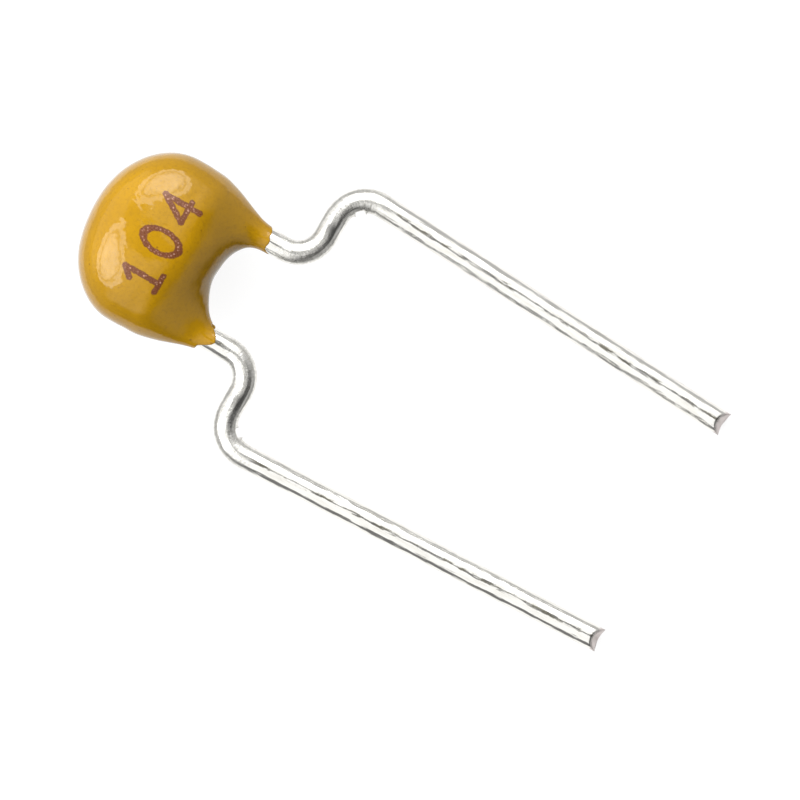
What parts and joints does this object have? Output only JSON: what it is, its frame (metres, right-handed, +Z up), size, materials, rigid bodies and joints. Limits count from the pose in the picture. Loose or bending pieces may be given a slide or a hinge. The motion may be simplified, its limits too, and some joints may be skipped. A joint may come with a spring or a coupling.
{
  "type": "multilayer ceramic capacitor",
  "caption": "Small radial ceramic capacitor: a mustard-yellow dipped epoxy body with a formed, kinked tinned wire lead from each end of the chip inside.",
  "frame": {"origin": "centre of the bounding box's bottom, on the surface that the capacitor lies on", "axes": "+X along the leads towards their tips, +Z up through the thickness of the body as it lies on its belly and lead tips, +Y towards the left lead"},
  "size_m": [0.0134, 0.0064, 0.0024],
  "materials": {
    "epoxy": "glossy dipped epoxy, mustard yellow with fine dark specks",
    "ceramic": "unglazed fired ceramic, brown grey",
    "nickel": "thin fired metal layer",
    "silver": "fired and tinned end metal",
    "solder": "frozen solder",
    "tinned_wire": "bright tinned wire with fine draw marks"
  },
  "bodies": {
    "root": {"epoxy_coat": "epoxy", "ceramic_block": "ceramic", "termination_left": "silver", "termination_right": "silver", "solder_left": "solder", "solder_right": "solder", "lead_left": "tinned_wire", "lead_right": "tinned_wire", "electrode_left_1": "nickel", "electrode_left_2": "nickel", "electrode_left_3": "nickel", "electrode_left_4": "nickel", "electrode_left_5": "nickel", "electrode_left_6": "nickel", "electrode_right_1": "nickel", "electrode_right_2": "nickel", "electrode_right_3": "nickel", "electrode_right_4": "nickel", "electrode_right_5": "nickel", "electrode_right_6": "nickel"}
  },
  "joints": []
}
